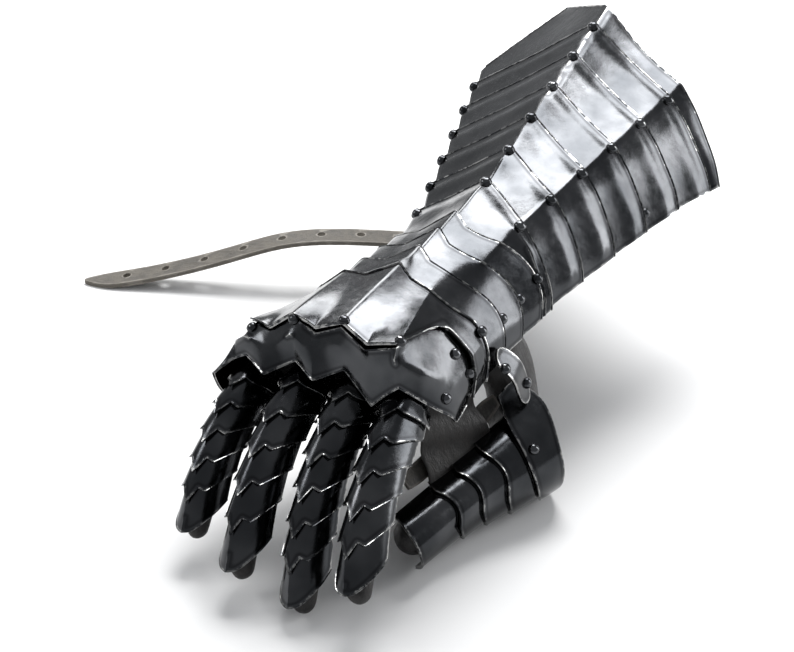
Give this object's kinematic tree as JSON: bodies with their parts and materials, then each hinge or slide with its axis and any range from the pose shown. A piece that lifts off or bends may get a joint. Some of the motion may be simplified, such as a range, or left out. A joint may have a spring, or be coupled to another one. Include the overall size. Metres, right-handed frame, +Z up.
{
  "type": "armoured gauntlet",
  "caption": "Right-hand articulated steel gauntlet with a ridged, pointed cuff of overlapping lames, plated fingers and thumb, an inner leather glove and a strap.",
  "frame": {"origin": "middle of the bounding box in plan, on the surface the gauntlet lies on", "axes": "+Y along the forearm towards the elbow, +X towards the thumb side, +Z up from the surface"},
  "size_m": [0.2996, 0.3656, 0.1423],
  "materials": {
    "blackened_steel": "blackened and polished steel, worn bright at its edges",
    "glove_leather": "black glove leather, soft and slightly creased",
    "strap_leather": "grey-brown strap leather, matt"
  },
  "bodies": {
    "root": {"wrist_lame_3": "blackened_steel", "wrist_lame_2": "blackened_steel", "wrist_lame_1": "blackened_steel", "cuff_lame_1": "blackened_steel", "cuff_lame_2": "blackened_steel", "cuff_lame_3": "blackened_steel", "cuff_lame_4": "blackened_steel", "cuff_lame_5": "blackened_steel", "cuff_lame_6": "blackened_steel", "cuff_lame_7": "blackened_steel", "hand_plate": "blackened_steel", "knuckle_plate": "blackened_steel", "index_lame_1": "blackened_steel", "index_lame_2": "blackened_steel", "index_lame_3": "blackened_steel", "index_lame_4": "blackened_steel", "index_lame_5": "blackened_steel", "index_lame_6": "blackened_steel", "middle_lame_1": "blackened_steel", "middle_lame_2": "blackened_steel", "middle_lame_3": "blackened_steel", "middle_lame_4": "blackened_steel", "middle_lame_5": "blackened_steel", "middle_lame_6": "blackened_steel", "middle_lame_7": "blackened_steel", "ring_lame_1": "blackened_steel", "ring_lame_2": "blackened_steel", "ring_lame_3": "blackened_steel", "ring_lame_4": "blackened_steel", "ring_lame_5": "blackened_steel", "ring_lame_6": "blackened_steel", "little_lame_1": "blackened_steel", "little_lame_2": "blackened_steel", "little_lame_3": "blackened_steel", "little_lame_4": "blackened_steel", "little_lame_5": "blackened_steel", "little_lame_6": "blackened_steel", "thumb_base_plate": "blackened_steel", "thumb_lame_1": "blackened_steel", "thumb_lame_2": "blackened_steel", "thumb_lame_3": "blackened_steel", "thumb_lame_4": "blackened_steel", "thumb_tab": "blackened_steel", "glove_index": "glove_leather", "glove_middle": "glove_leather", "glove_ring": "glove_leather", "glove_little": "glove_leather", "glove_palm": "glove_leather", "glove_thumb": "glove_leather", "thumb_strip": "strap_leather", "cuff_strap": "strap_leather"}
  },
  "joints": []
}
